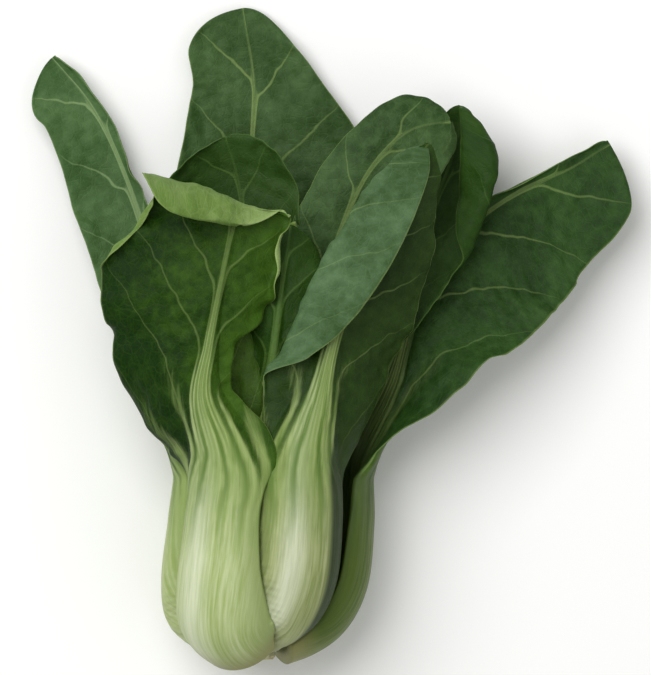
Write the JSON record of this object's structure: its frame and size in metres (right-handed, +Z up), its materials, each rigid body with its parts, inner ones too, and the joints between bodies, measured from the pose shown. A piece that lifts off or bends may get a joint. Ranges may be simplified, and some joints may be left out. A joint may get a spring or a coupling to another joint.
{
  "type": "bok choy",
  "caption": "Whole head of green-stalked leaf cabbage lying on its back, with thick pale stalks packed into a bulb and broad green blades fanning out.",
  "frame": {"origin": "on the surface the head lies on, under the middle of its outline", "axes": "+Y from the cut stem to the leaf tips, +Z up from the surface the head lies on, +X across to the right when looking down with the tips away from the viewer"},
  "size_m": [0.1808, 0.1992, 0.074],
  "materials": {
    "stem": "firm pale stem tissue, cut across at the foot",
    "leaf": "waxy leaf: pale glossy stalk running into a green veined blade",
    "heart": "young yellow-green leaf"
  },
  "bodies": {
    "root": {"core_stem": "stem", "front_left_leaf": "leaf", "front_right_leaf": "leaf", "right_leaf": "leaf", "left_leaf": "leaf", "back_leaf": "leaf", "inner_left_leaf": "leaf", "inner_right_leaf": "leaf", "inner_front_leaf": "leaf", "inner_back_left_leaf": "leaf", "inner_back_right_leaf": "leaf", "heart_right_leaf": "heart", "heart_back_leaf": "heart", "heart_left_leaf": "heart"}
  },
  "joints": []
}
